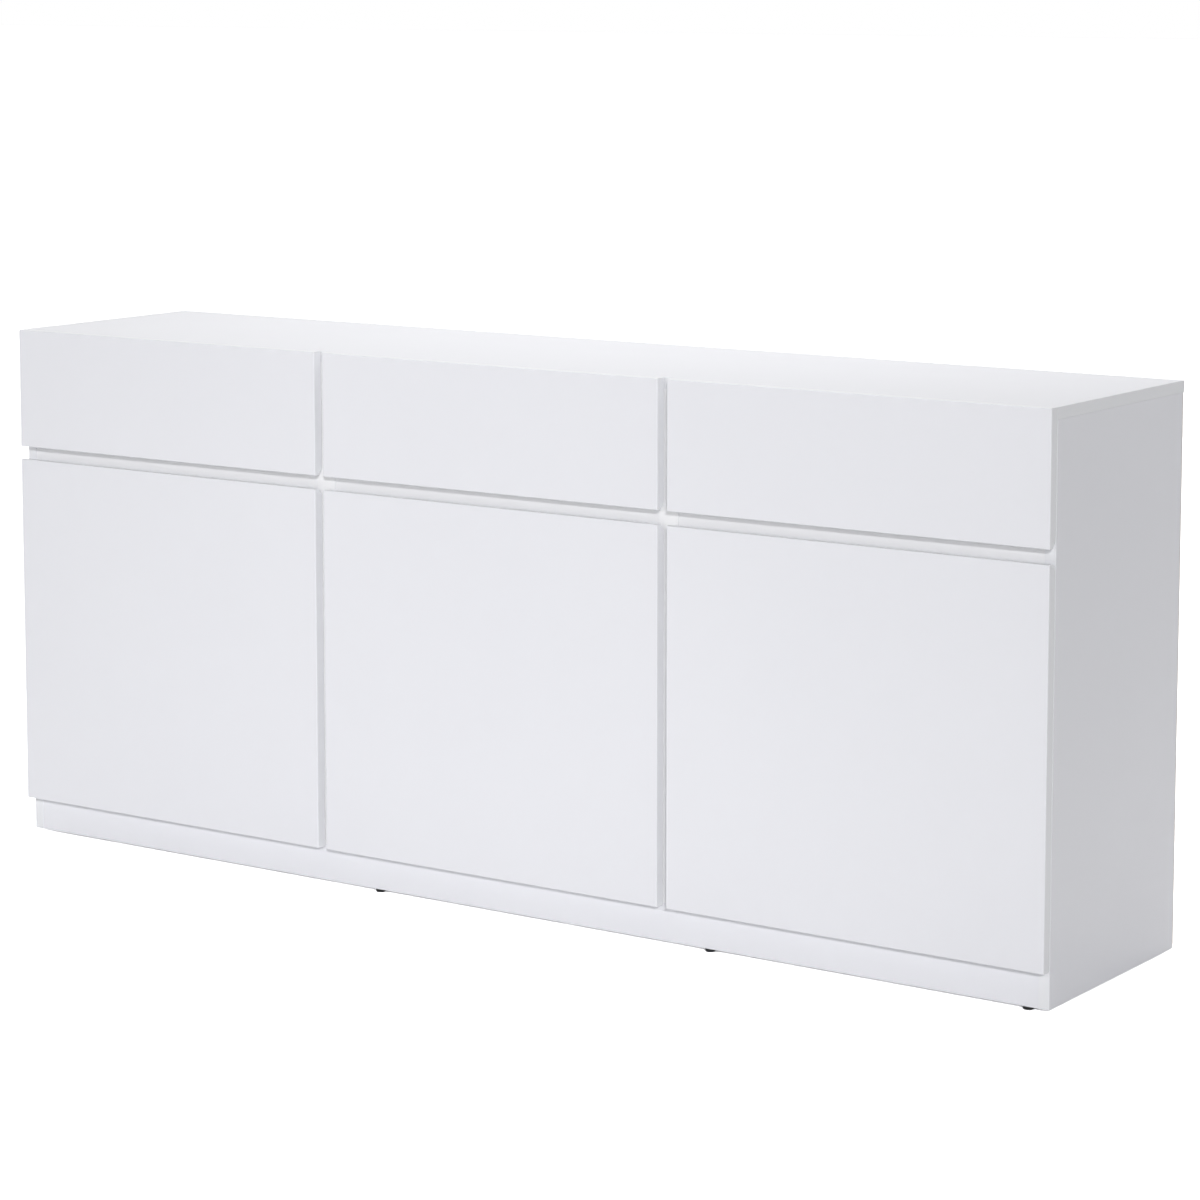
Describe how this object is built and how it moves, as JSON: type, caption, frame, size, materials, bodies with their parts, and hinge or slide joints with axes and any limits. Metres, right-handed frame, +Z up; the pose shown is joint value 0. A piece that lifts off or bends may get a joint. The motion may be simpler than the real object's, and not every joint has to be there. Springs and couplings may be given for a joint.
{
  "type": "sideboard",
  "caption": "Long low white sideboard: wide drawers above cupboard doors, handle-less bevelled finger grips, flat top, set-back plinth on small glides.",
  "frame": {"origin": "on the floor, under the centre of the outline", "axes": "+X along the length, to the right seen from the front; +Y from the fronts towards the back; +Z up"},
  "size_m": [1.8, 0.39, 0.8],
  "materials": {
    "gloss_white_board": "high-gloss white lacquer film on board, rounded edges",
    "white_melamine_board": "matt white melamine on particle board with edge banding",
    "white_hardboard": "white-faced thin hardboard, brown raw edge and rear",
    "zinc_plated_steel": "bright zinc plating",
    "nickel_plated_steel": "nickel plating",
    "zinc_alloy": "die-cast, satin",
    "black_plastic": "moulded, matt",
    "beech": "fluted raw beech"
  },
  "bodies": {
    "carcass": {"top_panel": "gloss_white_board", "left_side_panel": "gloss_white_board", "right_side_panel": "gloss_white_board", "left_cabinet_inner_side": "white_melamine_board", "middle_cabinet_left_side": "white_melamine_board", "middle_cabinet_right_side": "white_melamine_board", "right_cabinet_inner_side": "white_melamine_board", "front_plinth": "gloss_white_board", "rear_plinth": "white_melamine_board", "left_base_panel": "white_melamine_board", "left_rail": "gloss_white_board", "left_back_panel": "white_hardboard", "left_shelf": "white_melamine_board", "middle_base_panel": "white_melamine_board", "middle_rail": "gloss_white_board", "middle_back_panel": "white_hardboard", "middle_shelf": "white_melamine_board", "right_base_panel": "white_melamine_board", "right_rail": "gloss_white_board", "right_back_panel": "white_hardboard", "right_shelf": "white_melamine_board", "shelf_pins": "zinc_plated_steel", "glide_feet": "black_plastic", "cam_locks": "zinc_alloy", "cam_bolts": "zinc_plated_steel", "wood_dowels": "beech", "connector_bolts": "nickel_plated_steel", "slide_outer_members": "zinc_plated_steel", "hinge_arms": "nickel_plated_steel", "hinge_mounting_plates": "nickel_plated_steel"},
    "left_drawer": {"left_drawer_front": "gloss_white_board", "left_drawer_left_side": "white_melamine_board", "left_drawer_right_side": "white_melamine_board", "left_drawer_back": "white_melamine_board", "left_drawer_bottom": "white_hardboard", "left_slide_inner_members": "zinc_plated_steel"},
    "left_slide_middles": {"left_slide_middle_members": "zinc_plated_steel"},
    "left_door": {"left_door_panel": "gloss_white_board", "left_hinge_cups": "nickel_plated_steel"},
    "left_hinge_links": {"left_hinge_links": "nickel_plated_steel"},
    "middle_drawer": {"middle_drawer_front": "gloss_white_board", "middle_drawer_left_side": "white_melamine_board", "middle_drawer_right_side": "white_melamine_board", "middle_drawer_back": "white_melamine_board", "middle_drawer_bottom": "white_hardboard", "middle_slide_inner_members": "zinc_plated_steel"},
    "middle_slide_middles": {"middle_slide_middle_members": "zinc_plated_steel"},
    "middle_door": {"middle_door_panel": "gloss_white_board", "middle_hinge_cups": "nickel_plated_steel"},
    "middle_hinge_links": {"middle_hinge_links": "nickel_plated_steel"},
    "right_drawer": {"right_drawer_front": "gloss_white_board", "right_drawer_left_side": "white_melamine_board", "right_drawer_right_side": "white_melamine_board", "right_drawer_back": "white_melamine_board", "right_drawer_bottom": "white_hardboard", "right_slide_inner_members": "zinc_plated_steel"},
    "right_slide_middles": {"right_slide_middle_members": "zinc_plated_steel"},
    "right_door": {"right_door_panel": "gloss_white_board", "right_hinge_cups": "nickel_plated_steel"},
    "right_hinge_links": {"right_hinge_links": "nickel_plated_steel"}
  },
  "joints": [
    {"name": "left_drawer_slide", "type": "slide", "parent": "carcass", "child": "left_drawer", "axis": [0, -1, 0], "range_m": [0, 0.33]},
    {"name": "left_middle_members_slide", "type": "slide", "parent": "carcass", "child": "left_slide_middles", "axis": [0, -1, 0], "range_m": [0, 0.166]},
    {"name": "left_hinge_link_swing", "type": "hinge", "parent": "carcass", "child": "left_hinge_links", "pos_m": [-0.868, -0.1735, 0.327], "axis": [0, 0, -1], "range_deg": [-31.5, 0]},
    {"name": "left_door_swing", "type": "hinge", "parent": "left_hinge_links", "child": "left_door", "pos_m": [-0.89116, -0.1815, 0.327], "axis": [0, 0, -1], "range_deg": [0, 126]},
    {"name": "middle_drawer_slide", "type": "slide", "parent": "carcass", "child": "middle_drawer", "axis": [0, -1, 0], "range_m": [0, 0.33]},
    {"name": "middle_middle_members_slide", "type": "slide", "parent": "carcass", "child": "middle_slide_middles", "axis": [0, -1, 0], "range_m": [0, 0.166]},
    {"name": "middle_hinge_link_swing", "type": "hinge", "parent": "carcass", "child": "middle_hinge_links", "pos_m": [-0.263, -0.1735, 0.327], "axis": [0, 0, -1], "range_deg": [-31.5, 0]},
    {"name": "middle_door_swing", "type": "hinge", "parent": "middle_hinge_links", "child": "middle_door", "pos_m": [-0.28616, -0.1815, 0.327], "axis": [0, 0, -1], "range_deg": [0, 126]},
    {"name": "right_drawer_slide", "type": "slide", "parent": "carcass", "child": "right_drawer", "axis": [0, -1, 0], "range_m": [0, 0.33]},
    {"name": "right_middle_members_slide", "type": "slide", "parent": "carcass", "child": "right_slide_middles", "axis": [0, -1, 0], "range_m": [0, 0.166]},
    {"name": "right_hinge_link_swing", "type": "hinge", "parent": "carcass", "child": "right_hinge_links", "pos_m": [0.868, -0.1735, 0.327], "axis": [0, 0, 1], "range_deg": [-31.5, 0]},
    {"name": "right_door_swing", "type": "hinge", "parent": "right_hinge_links", "child": "right_door", "pos_m": [0.89116, -0.1815, 0.327], "axis": [0, 0, 1], "range_deg": [0, 126]}
  ],
  "couplings": [
    {"joint": "left_middle_members_slide", "follows": "left_drawer_slide", "ratio": 0.5},
    {"joint": "left_hinge_link_swing", "follows": "left_door_swing", "ratio": -0.24603},
    {"joint": "middle_middle_members_slide", "follows": "middle_drawer_slide", "ratio": 0.5},
    {"joint": "middle_hinge_link_swing", "follows": "middle_door_swing", "ratio": -0.24603},
    {"joint": "right_middle_members_slide", "follows": "right_drawer_slide", "ratio": 0.5},
    {"joint": "right_hinge_link_swing", "follows": "right_door_swing", "ratio": -0.24603}
  ]
}
